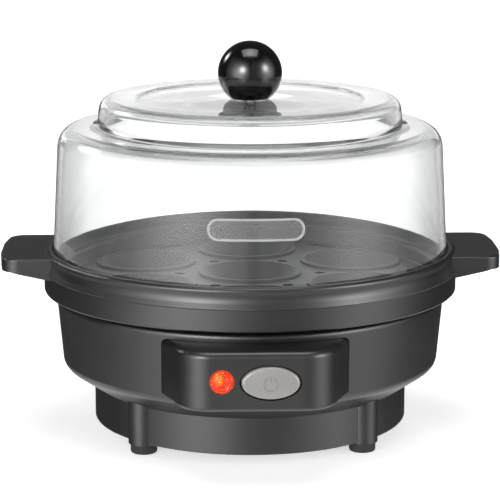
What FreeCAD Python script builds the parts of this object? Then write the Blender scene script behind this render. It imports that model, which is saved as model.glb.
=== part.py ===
"""Seven-egg electric cooker: clear lid on a lift-out tray over a heated base.

Millimetres, +Z up, front of the cooker faces -Y, floor at z = 0.
One STEP file is written per node into parts/.
"""
import FreeCAD, Part
import math
import os

V = FreeCAD.Vector
Z = V(0, 0, 1)

# ---------------------------------------------------------------- dimensions
# base
SKIRT_R = 62.7              # outer radius of the round skirt
SKIRT_BOTTOM = 4.3          # underside of the skirt above the floor
SKIRT_TOP = 19.0            # where the skirt meets the housing
LIP_R = 77.6                # housing radius at the lip
LIP_TOP = 55.6              # top face of the housing lip
LIP_INNER_R = 73.2          # inside radius of the lip
BOWL_R = 75.05              # housing radius at the lower corner
BOWL_CORNER = 27.4          # height of the lower corner
WALL = 2.4                  # moulded wall thickness
WELL_R = 52.4               # bore that takes the heating plate
FOOT_R = 60.0               # feet stand on this circle, at 45 degrees
COLUMN_R = 6.0              # foot column radius
PAD_R = 5.2                 # rubber pad radius
COLUMN_BOTTOM = 3.9         # lower end of each column

# control pod
POD_FRONT = -91.1           # flat front face
POD_BOTTOM = 29.6
POD_TOP = 51.9
POD_ROOT_X = 35.0           # half width where the pod leaves the housing
POD_ROOT_Y = -68.6
POD_FLANK_X = 30.1          # half width near the front, before the corner
POD_CORNER_R = 13.0
BUTTON_X, BUTTON_Z = 4.9, 40.5
BUTTON_W, BUTTON_H = 21.5, 12.2
BUTTON_GAP = 0.6            # gap around the oval button
BUTTON_FRONT = -92.5
BUTTON_TRAVEL = 2.0
LENS_X, LENS_Z = -12.95, 40.9
LENS_R = 4.5

# tray
RIM_R = 82.5                # outer radius at the top of the ring
RIM_TOP = 73.7
RIM_INNER_R = 79.4
STEP_Z = 65.5               # step line around the ring
RING_BOTTOM = 56.9
LEDGE_Z = 69.0              # ledge that carries the lid
PLATE_TOP = 64.0            # top of the egg plate
PLATE_T = 2.0
SEAT_CIRCLE_R = 48.5        # six outer seats
SEAT_R = 19.6               # seat radius at the plate
SEAT_HOLE_R = 11.5          # open bottom of each seat
SEAT_BOTTOM = 57.2
HANDLE_X = 98.95            # end of each handle from the axis
HANDLE_HALF = 24.6          # half depth of each handle
HANDLE_TOP = 72.8
HANDLE_BOTTOM = 67.6

# lid
LID_BOTTOM = 69.1
LID_BOTTOM_R = 78.7
LID_SHOULDER_R = 75.9
LID_STEP_Z = 121.4
DOME_R = 60.6
DOME_TOP = 133.1
RECESS_R = 43.6
RECESS_Z = 132.0
LID_T = 2.4
KNOB_R = 12.7
KNOB_Z = 142.4
KNOB_FLAT = 132.4

# heater
DISH_Z = 41.6               # water surface of the dish floor
DISH_T = 1.4
ELEMENT_R = 29.0
ELEMENT_TUBE_R = 3.2
ELEMENT_Z = 35.4
BRACKET_ANGLES = (60, 180, 300)
FUSE_Y, FUSE_Z = -22.6, 30.35
CLIP_Y = -17.9              # screw that holds the fuse clip


# ------------------------------------------------------------------- helpers
def rounded(points, place):
    """Closed wire through (a, b[, radius]) corners; place(a, b) gives the 3-D point."""
    count = len(points)
    corners = []
    for i in range(count):
        a, b = points[i][0], points[i][1]
        r = points[i][2] if len(points[i]) > 2 else 0.0
        pa, pb = points[i - 1][0] - a, points[i - 1][1] - b
        na, nb = points[(i + 1) % count][0] - a, points[(i + 1) % count][1] - b
        lp, ln = math.hypot(pa, pb), math.hypot(na, nb)
        pa, pb, na, nb = pa / lp, pb / lp, na / ln, nb / ln
        if r <= 0:
            corners.append(((a, b), None, (a, b)))
            continue
        half = math.acos(max(-1.0, min(1.0, pa * na + pb * nb))) / 2
        t = r / math.tan(half)
        ba, bb = pa + na, pb + nb
        lb = math.hypot(ba, bb)
        reach = r / math.sin(half) - r
        corners.append(((a + pa * t, b + pb * t),
                        (a + ba / lb * reach, b + bb / lb * reach),
                        (a + na * t, b + nb * t)))
    edges = []
    for i in range(count):
        start, mid, end = corners[i]
        if mid:
            edges.append(Part.Arc(place(*start), place(*mid), place(*end)).toShape())
        follow = corners[(i + 1) % count][0]
        if math.hypot(end[0] - follow[0], end[1] - follow[1]) > 1e-6:
            edges.append(Part.makeLine(place(*end), place(*follow)))
    return Part.Wire(edges)


def lathe(points, x=0.0, y=0.0):
    """Solid of revolution about the vertical through (x, y) from (r, z) corners."""
    wire = rounded(points, lambda r, z: V(x + r, y, z))
    return Part.Face(wire).revolve(V(x, y, 0), Z, 360)


def prism(points, z0, z1):
    """Vertical prism from rounded (x, y) corners."""
    wire = rounded(points, lambda x, y: V(x, y, z0))
    return Part.Face(wire).extrude(V(0, 0, z1 - z0))


def front_prism(points, y0, y1):
    """Prism along Y from rounded (x, z) corners."""
    wire = rounded(points, lambda x, z: V(x, y0, z))
    return Part.Face(wire).extrude(V(0, y1 - y0, 0))


def side_prism(points, x0, x1):
    """Prism along X from rounded (y, z) corners."""
    wire = rounded(points, lambda y, z: V(x0, y, z))
    return Part.Face(wire).extrude(V(x1 - x0, 0, 0))


def box(x0, x1, y0, y1, z0, z1):
    return Part.makeBox(x1 - x0, y1 - y0, z1 - z0, V(x0, y0, z0))


def cyl(r, x, y, z0, z1):
    return Part.makeCylinder(r, z1 - z0, V(x, y, z0), Z)


def cyl_y(r, x, z, y0, y1):
    return Part.makeCylinder(r, y1 - y0, V(x, y0, z), V(0, 1, 0))


def tube(r_out, r_in, x, y, z0, z1):
    return cyl(r_out, x, y, z0, z1).cut(cyl(r_in, x, y, z0 - 1, z1 + 1))


def around(shape, angles):
    """Copies of a shape turned about the vertical axis."""
    copies = []
    for angle in angles:
        copy = shape.copy()
        copy.rotate(V(0, 0, 0), Z, angle)
        copies.append(copy)
    return copies


def oval(width, height, x, z, y0, y1):
    """Elliptical prism along Y, long side along X."""
    ellipse = Part.Ellipse(V(x, y0, z), width / 2, height / 2)
    edge = ellipse.toShape()
    edge.rotate(V(x, y0, z), V(1, 0, 0), 90)
    return Part.Face(Part.Wire([edge])).extrude(V(0, y1 - y0, 0))


def pipe(points, radius, bend):
    """Round lead along a polyline with rounded bends."""
    edges = []
    last = V(*points[0])
    for i in range(1, len(points) - 1):
        a, b, c = V(*points[i - 1]), V(*points[i]), V(*points[i + 1])
        u, w = (a - b).normalize(), (c - b).normalize()
        half = math.acos(max(-1.0, min(1.0, u.dot(w)))) / 2
        t = bend / math.tan(half)
        mid = (u + w).normalize() * (bend / math.sin(half) - bend)
        start, end = b + u * t, b + w * t
        if (start - last).Length > 1e-6:
            edges.append(Part.makeLine(last, start))
        edges.append(Part.Arc(start, b + mid, end).toShape())
        last = end
    edges.append(Part.makeLine(last, V(*points[-1])))
    path = Part.Wire(edges)
    heading = V(*points[1]) - V(*points[0])
    ring = Part.Wire([Part.makeCircle(radius, V(*points[0]), heading)])
    return path.makePipeShell([ring], True, True)


def screw(x, y, head_z, tip_z, shank_r, head_r, head_h, up=True):
    """Pan-head screw on a vertical axis; the head sits at head_z, tip at tip_z."""
    sign = 1 if up else -1
    head0 = head_z - sign * head_h
    body = cyl(shank_r, x, y, min(head_z, tip_z), max(head_z, tip_z))
    head = cyl(head_r, x, y, min(head_z, head0), max(head_z, head0))
    rim = [e for e in head.Edges if abs(e.BoundBox.ZMin - head0) < 1e-6
           and abs(e.BoundBox.ZMax - head0) < 1e-6]
    head = head.makeFillet(head_h * 0.45, rim)
    slot = head_r * 0.62
    for across, along in ((0.45, slot), (slot, 0.45)):
        z0, z1 = sorted((head0 - sign * 0.1, head0 + sign * head_h * 0.55))
        head = head.cut(box(x - across, x + across, y - along, y + along, z0, z1))
    return body.fuse(head).removeSplitter()


def unite(shapes):
    return shapes[0].fuse(shapes[1:]).removeSplitter()


def group(shapes):
    return Part.makeCompound(shapes)


# ----------------------------------------------------------------------- lid
def lid_dome():
    t = LID_T
    shell = lathe([
        (LID_BOTTOM_R, LID_BOTTOM, 0.6), (LID_SHOULDER_R, LID_STEP_Z, 7.5),
        (DOME_R, LID_STEP_Z + 0.4, 3.8), (DOME_R - 1.3, DOME_TOP, 5.0),
        (RECESS_R + 0.9, DOME_TOP, 0.5), (RECESS_R, RECESS_Z, 0.5), (7.4, RECESS_Z, 0.3),
        (7.1, KNOB_FLAT - 0.05), (2.3, KNOB_FLAT - 0.05), (2.3, RECESS_Z - t),
        (RECESS_R + 1.0, RECESS_Z - t, 0.5), (RECESS_R + 1.9, DOME_TOP - t, 0.5),
        (DOME_R - 1.3 - t, DOME_TOP - t, 2.6), (DOME_R - t, LID_STEP_Z + 0.4 - t, 1.4),
        (LID_SHOULDER_R - t, LID_STEP_Z - t, 5.1), (LID_BOTTOM_R - t - 0.1, LID_BOTTOM, 0.6)])
    return shell.cut(cyl(1.6, 0, 26, 120, 140))


def lid_badge():
    """Blank capsule plaque standing 0.4 mm proud of the lid wall."""
    slope = (LID_SHOULDER_R - LID_BOTTOM_R) / (LID_STEP_Z - LID_BOTTOM)

    def wall(z):
        return LID_BOTTOM_R + slope * (z - LID_BOTTOM)
    z0, z1 = 88.0, 101.0
    shell = lathe([(wall(z0) + 0.03, z0), (wall(z0) + 0.43, z0),
                   (wall(z1) + 0.43, z1), (wall(z1) + 0.03, z1)])
    capsule = front_prism([(-14.0, 90.3, 4.1), (14.0, 90.3, 4.1),
                           (14.0, 98.7, 4.1), (-14.0, 98.7, 4.1)], -85, -60)
    return shell.common(capsule)


def lid_knob():
    ball = Part.makeSphere(KNOB_R, V(0, 0, KNOB_Z), Z)
    ball = ball.cut(box(-20, 20, -20, 20, KNOB_FLAT - 20, KNOB_FLAT))
    return ball.cut(cyl(1.75, 0, 0, KNOB_FLAT - 1, KNOB_FLAT + 10))


def knob_washer():
    top = RECESS_Z - LID_T
    return tube(6.0, 2.1, 0, 0, top - 1.0, top)


def knob_screw():
    return screw(0, 0, RECESS_Z - LID_T - 1.0, KNOB_FLAT + 8.5, 1.7, 4.0, 2.2)


# ---------------------------------------------------------------------- tray
def seat_centres():
    ring = [(SEAT_CIRCLE_R * math.cos(math.radians(a)), SEAT_CIRCLE_R * math.sin(math.radians(a)))
            for a in range(30, 390, 60)]
    return [(0.0, 0.0)] + ring


def handle_outline(inset):
    end, half = HANDLE_X - inset, HANDLE_HALF - inset
    return [(end - 1.9, -half, 6.5), (end, -9.0, 30.0), (end, 9.0, 30.0),
            (end - 1.9, half, 6.5), (70.0, half), (70.0, -half)]


def handle():
    slab = prism(handle_outline(0), HANDLE_BOTTOM, HANDLE_TOP)
    edges = [e for e in slab.Edges if e.BoundBox.ZMin > HANDLE_TOP - 0.01 and
             e.BoundBox.XMax > 71]
    slab = slab.makeFillet(0.8, edges)
    wedge = prism(handle_outline(0.7), 63.0, HANDLE_BOTTOM + 0.5)
    under = front_prism([(60, 55), (120, 55), (120, 72.8), (95.4, 67.6), (79, 64.0), (60, 60)],
                        -40, 40)
    wedge = wedge.cut(under)
    pocket = prism([(95.3, -21.6, 4), (95.3, 21.6, 4), (84.6, 21.6), (84.6, -21.6)], 60, 70.2)
    ribs = [box(84, 96, y - 0.8, y + 0.8, 64.5, 71) for y in (-7.2, 7.2)]
    ribs = [rib.cut(under) for rib in ribs]
    tab = unite([slab, wedge]).cut(pocket)
    return unite([tab] + [rib.common(prism(handle_outline(0.7), 60, 71)) for rib in ribs])


def egg_tray():
    ring = lathe([
        (RIM_INNER_R, RIM_TOP, 0.6), (RIM_R, RIM_TOP, 1.5), (RIM_R - 0.8, RIM_TOP - 4.2, 6.0),
        (RIM_R + 0.75, STEP_Z + 0.2, 0.3), (RIM_R - 0.15, STEP_Z - 0.1),
        (RIM_R - 0.15, RING_BOTTOM, 0.6), (80.1, RING_BOTTOM),
        (80.1, LEDGE_Z - 2.4, 0.6), (75.1, LEDGE_Z - 2.4, 0.6), (75.1, LIP_TOP + 0.1),
        (72.4, LIP_TOP + 0.1), (72.0, 52.6, 0.6), (70.2, 52.6, 0.6), (70.2, PLATE_TOP - PLATE_T),
        (60.0, PLATE_TOP - PLATE_T), (60.0, PLATE_TOP), (71.4, PLATE_TOP, 0.8),
        (72.6, LEDGE_Z, 0.8), (RIM_INNER_R, LEDGE_Z, 0.3)])
    plate = cyl(60.5, 0, 0, PLATE_TOP - PLATE_T, PLATE_TOP)
    tabs = [h.cut(cyl(81.0, 0, 0, 50, 90)) for h in around(handle(), (0, 180))]
    body = unite([ring, plate] + tabs)
    cups, holes = [], []
    for x, y in seat_centres():
        cups.append(lathe([(SEAT_R + 1.2, PLATE_TOP - 0.1), (SEAT_R + 0.9, PLATE_TOP + 1.1, 0.5),
                           (SEAT_R - 0.4, PLATE_TOP + 1.1, 0.5), (SEAT_HOLE_R, SEAT_BOTTOM, 0.5),
                           (SEAT_HOLE_R + 1.9, SEAT_BOTTOM, 0.5)], x, y))
        holes.append(cyl(SEAT_R - 0.6, x, y, PLATE_TOP - 8, PLATE_TOP + 3))
    body = body.cut(holes)
    body = unite([body] + cups)
    slots = []
    for angle in range(0, 360, 60):
        slot = prism([(63.0, -6.0, 1.6), (67.4, -6.0, 1.6), (67.4, 6.0, 1.6), (63.0, 6.0, 1.6)],
                     55, 70)
        slots += around(slot, (angle,))
        slots += around(cyl(2.2, 28.0, 0, 55, 70), (angle,))
    keep = unite([cyl(SEAT_R + 1.6, x, y, 50, 75) for x, y in seat_centres()])
    return body.cut([s.cut(keep) for s in slots])


# ---------------------------------------------------------------------- base
def underside_cone(offset=0.0):
    """Space under the housing's conical bottom, lowered by offset."""
    run, rise = BOWL_R - 62.9, BOWL_CORNER - SKIRT_TOP - 0.1
    return lathe([(0.0, 0.0), (85.0, 0.0), (85.0, BOWL_CORNER + rise / run * (85 - BOWL_R) - offset),
                  (62.9, SKIRT_TOP + 0.1 - offset), (0.0, SKIRT_TOP + 0.1 - offset)])


def foot_places():
    return [(FOOT_R * math.cos(math.radians(a)), FOOT_R * math.sin(math.radians(a)))
            for a in (45, 135, 225, 315)]


def pod_outline(inset, back):
    """Plan of the pod: tapering flanks, rounded corners, flat front."""
    front = POD_FRONT + inset
    return [(-POD_ROOT_X + inset, POD_ROOT_Y), (-POD_FLANK_X + inset, -80.0),
            (-POD_FLANK_X + 3.0 + inset, front, POD_CORNER_R - inset),
            (POD_FLANK_X - 3.0 - inset, front, POD_CORNER_R - inset),
            (POD_FLANK_X - inset, -80.0), (POD_ROOT_X - inset, POD_ROOT_Y),
            (POD_ROOT_X - inset, back), (-POD_ROOT_X + inset, back)]


def base_housing():
    t = WALL
    bowl = lathe([
        (LIP_INNER_R, LIP_TOP, 0.8), (LIP_R, LIP_TOP, 2.3), (BOWL_R, BOWL_CORNER, 4.0),
        (62.9, SKIRT_TOP + 0.1), (60.5, SKIRT_TOP + 0.1), (60.5, 20.9), (61.2, 20.9),
        (BOWL_R - t - 0.1, BOWL_CORNER + 1.3, 1.8), (LIP_R - t - 0.7, 48.1), (72.3, 46.7),
        (54.9, 43.5), (54.9, 40.5), (WELL_R, 40.5), (WELL_R, 45.6, 0.6), (72.5, 49.4, 1.5)])
    posts = [cyl(3.9, x, y, SKIRT_TOP + 0.1, 46.5) for x, y in foot_places()]
    posts += [cyl(3.4, x, -60.0, 34.1, 46.0) for x in (-28.0, 28.0)]
    posts += around(cyl(3.2, 58.6, 0, 30.2, 45.5), BRACKET_ANGLES)
    posts += [cyl(3.2, x, 58.0, 27.2, 45.5) for x in (-11.5, 11.5)]
    trim = underside_cone(-0.3)
    bowl = unite([bowl] + [post.cut(trim) for post in posts])
    half, low, high = POD_ROOT_X + 0.15, POD_BOTTOM - 0.15, POD_TOP + 0.15
    cutout = front_prism([(-half, low, 1.4), (half, low, 1.4), (half, high, 2.3), (-half, high, 2.3)],
                         -95, -61)
    inner = cyl(64.0, 0, 0, 0, 60)
    deck = lathe([(0, 43.4), (54.9, 43.4), (72.3, 46.6), (74.8, 48.1), (74.8, 60), (0, 60)])
    bowl = bowl.cut(cutout.cut([inner, deck]))
    holes = [cyl(1.5, x, y, SKIRT_TOP - 1, 36.0) for x, y in foot_places()]
    holes += [cyl(1.3, x, -60.0, 33.0, 42.0) for x in (-28.0, 28.0)]
    holes += around(cyl(1.2, 58.6, 0, 29.0, 40.0), BRACKET_ANGLES)
    holes += [cyl(1.2, x, 58.0, 26.0, 38.0) for x in (-11.5, 11.5)]
    holes.append(cyl_y(6.0, 0, 37.0, 68.0, 84.0))
    return bowl.cut(holes)


def control_pod():
    shell = prism(pod_outline(0, -63.0), POD_BOTTOM, POD_TOP)
    rim = [e for e in shell.Edges if e.BoundBox.ZMin > POD_TOP - 0.01
           and e.BoundBox.YMin < -63.1]
    shell = shell.makeFillet(2.4, rim)
    foot = [e for e in shell.Edges if e.BoundBox.ZMax < POD_BOTTOM + 0.01
            and e.BoundBox.YMin < -63.1]
    shell = shell.makeFillet(1.4, foot)
    hollow = prism(pod_outline(2.2, -55.0), POD_BOTTOM + 2.2, POD_TOP - 2.2)
    shell = shell.cut(hollow)
    deck = lathe([(0, 43.1), (54.9, 43.1), (72.3, 46.3), (75.2, 47.9), (75.2, 60), (0, 60)])
    shell = shell.cut(deck)
    ears = [prism([(x - 4.2, -67.5), (x + 4.2, -67.5), (x + 4.2, -56.6, 3), (x - 4.2, -56.6, 3)],
                  31.6, 34.0).cut(cyl(1.7, x, -60.0, 30, 36)) for x in (-28.0, 28.0)]
    collar = oval(BUTTON_W + 5.4, BUTTON_H + 5.0, BUTTON_X, BUTTON_Z, POD_FRONT + 1.0, -83.0)
    socket = cyl_y(LENS_R + 1.9, LENS_X, LENS_Z, POD_FRONT + 1.0, -84.0)
    rails = [box(BUTTON_X - 10.4, BUTTON_X - 9.1, -84.0, -66.5, 33.2, 47.6),
             box(BUTTON_X + 9.1, BUTTON_X + 10.4, -84.0, -66.5, 33.2, 47.6)]
    floor = [box(BUTTON_X - 10.4, BUTTON_X + 10.4, -80.0, -66.5, POD_BOTTOM + 1.0, 33.4)]
    pod = unite([shell, collar, socket] + ears + rails + floor)
    bores = [oval(BUTTON_W + 2 * BUTTON_GAP, BUTTON_H + 2 * BUTTON_GAP, BUTTON_X, BUTTON_Z,
                  POD_FRONT - 1, -85.4),
             oval(BUTTON_W - 2.2, BUTTON_H - 2.2, BUTTON_X, BUTTON_Z, -86, -80),
             cyl_y(LENS_R + 0.05, LENS_X, LENS_Z, POD_FRONT - 1, -87.5),
             cyl_y(LENS_R - 0.9, LENS_X, LENS_Z, -88, -80)]
    return pod.cut(bores + [deck])


def bottom_shell():
    skirt = lathe([(SKIRT_R - 2.3, SKIRT_BOTTOM), (SKIRT_R, SKIRT_BOTTOM, 0.5),
                   (SKIRT_R, SKIRT_TOP), (60.2, SKIRT_TOP), (60.2, 20.6), (58.2, 20.6),
                   (58.2, 10.8), (0.0, 10.8), (0.0, 8.6), (SKIRT_R - 2.3, 8.6)])
    columns = [cyl(COLUMN_R, x, y, COLUMN_BOTTOM, 24.5) for x, y in foot_places()]
    lower = underside_cone(0.05)
    housing_bore = tube(90, 60.3, 0, 0, SKIRT_TOP + 0.05, 40)
    outside = housing_bore.cut(lower)
    inside = cyl(60.3, 0, 0, SKIRT_TOP + 0.05, 40)
    columns = [c.cut(outside).cut(inside) for c in columns]
    shell = unite([skirt] + columns)
    cuts = []
    for x, y in foot_places():
        cuts += [cyl(1.85, x, y, 0, 30), cyl(3.7, x, y, 0, 14.0), cyl(4.3, x, y, SKIRT_TOP, 30)]
    for row in range(-3, 4):
        cuts += [prism([(row * 7 - 1.4, -38, 1.3), (row * 7 + 1.4, -38, 1.3),
                        (row * 7 + 1.4, -14, 1.3), (row * 7 - 1.4, -14, 1.3)], 5, 15)]
    ribs = [tube(30.0, 28.6, 0, 0, 10.7, 14.0),
            box(-1.0, 1.0, 29.0, 58.5, 10.7, 14.0)]
    ribs += [box(-58.5, -29.0, -1.0, 1.0, 10.7, 14.0), box(29.0, 58.5, -1.0, 1.0, 10.7, 14.0)]
    shell = unite([shell] + ribs)
    return shell.cut(cuts)


def foot_pads():
    pads = [unite([lathe([(0.0, 0.0), (PAD_R, 0.0, 1.0), (PAD_R, COLUMN_BOTTOM - 0.05),
                          (0.0, COLUMN_BOTTOM - 0.05)], x, y),
                   cyl(3.6, x, y, 3.0, 9.0)]) for x, y in foot_places()]
    return group(pads)


def housing_screws():
    return group([screw(x, y, 13.95, 33.0, 1.45, 3.4, 2.0) for x, y in foot_places()])


def pod_screws():
    return group([screw(x, -60.0, 31.55, 41.0, 1.25, 2.9, 1.6) for x in (-28.0, 28.0)])


def rating_label():
    return prism([(-19.0, 14.0, 2.0), (19.0, 14.0, 2.0), (19.0, 38.0, 2.0), (-19.0, 38.0, 2.0)],
                 8.3, 8.58)


# -------------------------------------------------------------------- heater
def heating_plate():
    t = DISH_T
    return lathe([(0.0, DISH_Z), (44.0, DISH_Z, 4.0), (48.4, 46.3, 1.4), (51.2, 46.3, 0.5),
                  (51.2, 46.3 - t), (49.3, 46.3 - t, 1.0), (44.9, DISH_Z - t, 3.4),
                  (0.0, DISH_Z - t)])


def plate_seal():
    return lathe([(51.3, 41.0), (52.3, 41.0), (52.3, 45.9, 0.3), (56.0, 46.6), (56.0, 47.4, 0.5),
                  (50.6, 47.2, 0.4), (50.6, 46.4), (51.3, 46.4)])


def element_path():
    ends = []
    for side in (-1, 1):
        a = math.radians(90 + side * 22)
        ends.append((ELEMENT_R * math.cos(a), ELEMENT_R * math.sin(a)))
    return ends


def element_tube(radius):
    """Open ring of heating tube with a cold end turned down at each side of the gap."""
    profile = Part.Face(Part.Wire([Part.makeCircle(
        radius, V(ELEMENT_R, 0, ELEMENT_Z), V(0, 1, 0))]))
    ring = profile.revolve(V(0, 0, 0), Z, 316)
    ring.rotate(V(0, 0, 0), Z, 112)
    legs = []
    for x, y in element_path():
        legs.append(Part.makeSphere(radius, V(x, y, ELEMENT_Z), Z))
        legs.append(cyl(radius, x, y, ELEMENT_Z - 6.5, ELEMENT_Z))
    return unite([ring] + legs)


def heating_element():
    pins = []
    for x, y in element_path():
        pins.append(cyl(1.1, x, y, ELEMENT_Z - 11.5, ELEMENT_Z - 6.4))
    return unite([element_tube(ELEMENT_TUBE_R)] + pins)


def heater_casting():
    block = lathe([(15.5, 36.2, 0.8), (15.5, 40.15), (42.5, 40.15), (42.5, 37.2, 0.8),
                   (35.0, 33.4, 1.5), (23.5, 33.4, 1.5)])
    lugs = around(prism([(41.0, -5.5, 0), (50.6, -5.5, 2), (50.6, 5.5, 2), (41.0, 5.5, 0)],
                        37.6, 40.15), BRACKET_ANGLES)
    screw_bosses = [cyl(2.6, x, 0, 31.5, 38.0) for x in (-18.0, 18.0)]
    screw_bosses.append(cyl(2.2, 0, CLIP_Y, 32.2, 38.0))
    block = unite([block] + screw_bosses + [lug.cut(cyl(40, 0, 0, 30, 45)) for lug in lugs])
    holes = [cyl(1.1, x, 0, 30, 36.5) for x in (-18.0, 18.0)]
    holes += around(cyl(1.3, 47.0, 0, 35, 40.0), BRACKET_ANGLES)
    holes.append(cyl(1.1, 0, CLIP_Y, 31, 36.5))
    return block.cut(element_tube(ELEMENT_TUBE_R + 0.05)).cut(holes)


def plate_brackets():
    arm = side_prism([(43.8, 37.5), (50.9, 37.5), (54.0, 30.1), (62.0, 30.1), (62.0, 28.6),
                      (53.2, 28.6), (49.8, 36.2), (43.8, 36.2)], -4.5, 4.5)
    arm.rotate(V(0, 0, 0), Z, -90)
    arm = arm.cut([cyl(1.5, 58.6, 0, 25, 35), cyl(1.5, 47.0, 0, 33, 40)])
    return group(around(arm, BRACKET_ANGLES))


def bracket_screws():
    outer = screw(58.6, 0, 28.55, 37.5, 1.15, 2.6, 1.5)
    inner = screw(47.0, 0, 36.15, 39.8, 1.25, 2.4, 1.3)
    return group(around(outer, BRACKET_ANGLES) + around(inner, BRACKET_ANGLES))


def thermostat():
    can = lathe([(0.0, 40.1), (7.6, 40.1, 0.8), (7.6, 36.0), (9.2, 36.0), (9.2, 34.8),
                 (7.8, 34.8), (7.8, 28.0, 0.6), (0.0, 28.0)])
    tabs = [box(x - 0.4, x + 0.4, -3.1, 3.1, 21.5, 28.2) for x in (-4.6, 4.6)]
    tabs = [tab.cut(Part.makeCylinder(0.9, 3, V(tab.BoundBox.XMin - 1, 0, 23.6), V(1, 0, 0)))
            for tab in tabs]
    return unite([can] + tabs)


def thermostat_bracket():
    plate = prism([(-22.0, -4.5, 3), (22.0, -4.5, 3), (22.0, 4.5, 3), (-22.0, 4.5, 3)],
                  30.2, 31.4)
    hoop = tube(10.6, 8.0, 0, 0, 30.2, 31.4)
    stops = [box(x - 0.6, x + 0.6, -3.5, 3.5, 31.0, 34.7) for x in (-9.3, 9.3)]
    body = unite([plate, hoop] + stops).cut(cyl(8.0, 0, 0, 25, 40))
    return body.cut([cyl(1.5, x, 0, 28, 33) for x in (-18.0, 18.0)])


def thermostat_screws():
    return group([screw(x, 0, 30.15, 36.0, 1.05, 2.4, 1.3) for x in (-18.0, 18.0)]
                 + [screw(0, CLIP_Y, 31.4, 36.0, 1.05, 1.8, 1.2)])


def thermal_fuse():
    body = Part.makeCylinder(2.0, 11.0, V(-5.5, FUSE_Y, FUSE_Z), V(1, 0, 0))
    legs = [Part.makeCylinder(0.5, 7.0, V(5.4, FUSE_Y, FUSE_Z), V(1, 0, 0)),
            Part.makeCylinder(0.5, 7.0, V(-12.4, FUSE_Y, FUSE_Z), V(1, 0, 0))]
    return unite([body] + legs)


def fuse_clip():
    strap = side_prism([(-15.8, 32.15), (-20.5, 32.15), (-20.5, 28.3), (-24.7, 28.3),
                        (-24.7, 31.5), (-25.4, 31.5), (-25.4, 27.6), (-19.8, 27.6),
                        (-19.8, 31.45), (-15.8, 31.45)], -2.4, 2.4)
    return strap.cut(cyl(1.3, 0, CLIP_Y, 30, 36))


def earth_tab():
    foot = prism([(-3.2, 18.3, 1), (3.2, 18.3, 1), (3.2, 25.5, 0), (-3.2, 25.5, 0)], 32.4, 33.2)
    return foot.cut(cyl(1.4, 0, 21.5, 30, 35)).fuse(
        box(-3.2, 3.2, 25.0, 25.8, 25.0, 33.2)).removeSplitter()


# ------------------------------------------------------------------- control
def power_button():
    """Domed oval cap with a raised standby mark, a skirt and a plunger."""
    cap = oval(BUTTON_W, BUTTON_H, BUTTON_X, BUTTON_Z, BUTTON_FRONT, -87.6)
    front = [e for e in cap.Edges if e.BoundBox.YMax < BUTTON_FRONT + 0.01]
    cap = cap.makeFillet(1.3, front)
    hollow = oval(BUTTON_W - 3.4, BUTTON_H - 3.4, BUTTON_X, BUTTON_Z, -90.4, -86)
    stem = cyl_y(2.4, BUTTON_X, BUTTON_Z, -91.0, -81.1)
    cross = [box(BUTTON_X - 8.8, BUTTON_X + 8.8, -91.0, -88.2, BUTTON_Z - 0.5, BUTTON_Z + 0.5)]
    mark_y = BUTTON_FRONT - 0.22
    ring = cyl_y(2.75, BUTTON_X, BUTTON_Z - 0.3, mark_y, BUTTON_FRONT + 0.3).cut(
        cyl_y(2.1, BUTTON_X, BUTTON_Z - 0.3, mark_y - 1, BUTTON_FRONT + 1))
    ring = ring.cut(box(BUTTON_X - 1.1, BUTTON_X + 1.1, mark_y - 1, BUTTON_FRONT + 1,
                        BUTTON_Z, BUTTON_Z + 4))
    bar = box(BUTTON_X - 0.33, BUTTON_X + 0.33, mark_y, BUTTON_FRONT + 0.3,
              BUTTON_Z + 0.1, BUTTON_Z + 3.1)
    return unite([cap.cut(hollow), stem, ring, bar] + cross)


def button_spring():
    """Return spring around the plunger, between the cap's cross rib and the switch."""
    length, turns, radius = 8.7, 6.0, 3.1
    helix = Part.makeHelix(length / turns, length, radius)
    helix.rotate(V(0, 0, 0), V(1, 0, 0), -90)
    helix.translate(V(BUTTON_X, -87.85, BUTTON_Z))
    start = helix.Edges[0].valueAt(helix.Edges[0].FirstParameter)
    heading = helix.Edges[0].tangentAt(helix.Edges[0].FirstParameter)
    ring = Part.Wire([Part.makeCircle(0.3, start, heading)])
    return Part.Wire(helix).makePipeShell([ring], True, True)


def switch_body():
    block = box(BUTTON_X - 9.0, BUTTON_X + 9.0, -77.5, -66.0, 33.5, 44.9)
    block = block.makeFillet(0.6, block.Edges)
    nose = cyl_y(3.6, BUTTON_X, BUTTON_Z, -78.8, -77.0)
    lugs = [box(BUTTON_X + x - 0.4, BUTTON_X + x + 0.4, -66.2, -59.5, z - 2.2, z + 2.2)
            for x in (-5.2, 5.2) for z in (36.9, 42.0)]
    lugs = [lug.cut(Part.makeCylinder(0.8, 3, V(lug.BoundBox.XMin - 1, -61.6,
                                                lug.BoundBox.ZMin + 2.2), V(1, 0, 0)))
            for lug in lugs]
    return unite([block, nose] + lugs)


def indicator_lens():
    """Domed lens with stepped concentric rings on its rear face."""
    place = V(LENS_X, 0, LENS_Z)
    corners = [(0.0, -92.5), (1.6, -92.4), (3.2, -91.9), (LENS_R, -91.0), (LENS_R, -87.55),
               (3.55, -87.55), (3.55, -88.6), (2.8, -88.6), (2.8, -88.2), (2.1, -88.2),
               (2.1, -88.9), (1.4, -88.9), (1.4, -88.5), (0.7, -88.5), (0.7, -89.2), (0.0, -89.2)]
    wire = Part.makePolygon([place + V(r, y, 0) for r, y in corners + corners[:1]])
    return Part.Face(wire).revolve(place, V(0, 1, 0), 360)


def neon_lamp():
    bulb = cyl_y(2.4, LENS_X, LENS_Z, -85.0, -74.5)
    tip = Part.makeSphere(2.4, V(LENS_X, -85.0, LENS_Z), V(0, -1, 0))
    pins = [cyl_y(0.35, LENS_X + x, LENS_Z, -74.6, -68.0) for x in (-1.0, 1.0)]
    return unite([bulb, tip] + pins)


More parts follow.
